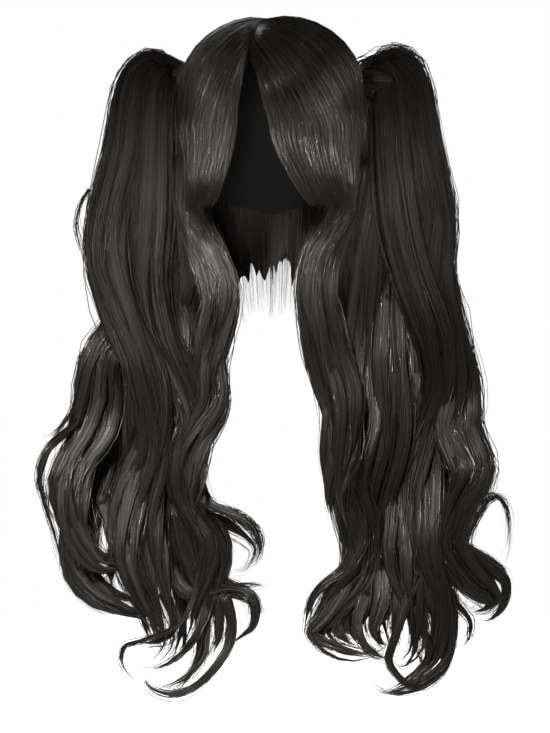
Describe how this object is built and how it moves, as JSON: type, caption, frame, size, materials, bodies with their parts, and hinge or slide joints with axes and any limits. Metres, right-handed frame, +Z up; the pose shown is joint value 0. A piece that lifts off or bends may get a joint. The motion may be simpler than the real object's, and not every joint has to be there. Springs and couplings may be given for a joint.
{
  "type": "pigtail wig",
  "caption": "Long wavy wig with a centre-parted fringe on a net cap, face-framing side locks and a curled pigtail clipped high on each side.",
  "frame": {"origin": "inside of the cap at the top, where the crown of the head touches it", "axes": "+Z up; the face looks along -Y; the wearer's left is +X, which is the right side of the picture"},
  "size_m": [0.4316, 0.2171, 0.6394],
  "materials": {
    "hair": "glossy near-black brown synthetic fibre",
    "cap_net": "matt black elastic net",
    "part_net": "matt skin-coloured net",
    "clip_plastic": "satin black"
  },
  "bodies": {
    "root": {"cap": "cap_net", "part_strip": "part_net", "crown_hair_left": "hair", "crown_hair_right": "hair", "bang_left": "hair", "bang_right": "hair", "side_lock_left": "hair", "side_lock_right": "hair", "pigtail_left": "hair", "pigtail_right": "hair", "clip_left": "clip_plastic", "clip_right": "clip_plastic"}
  },
  "joints": []
}
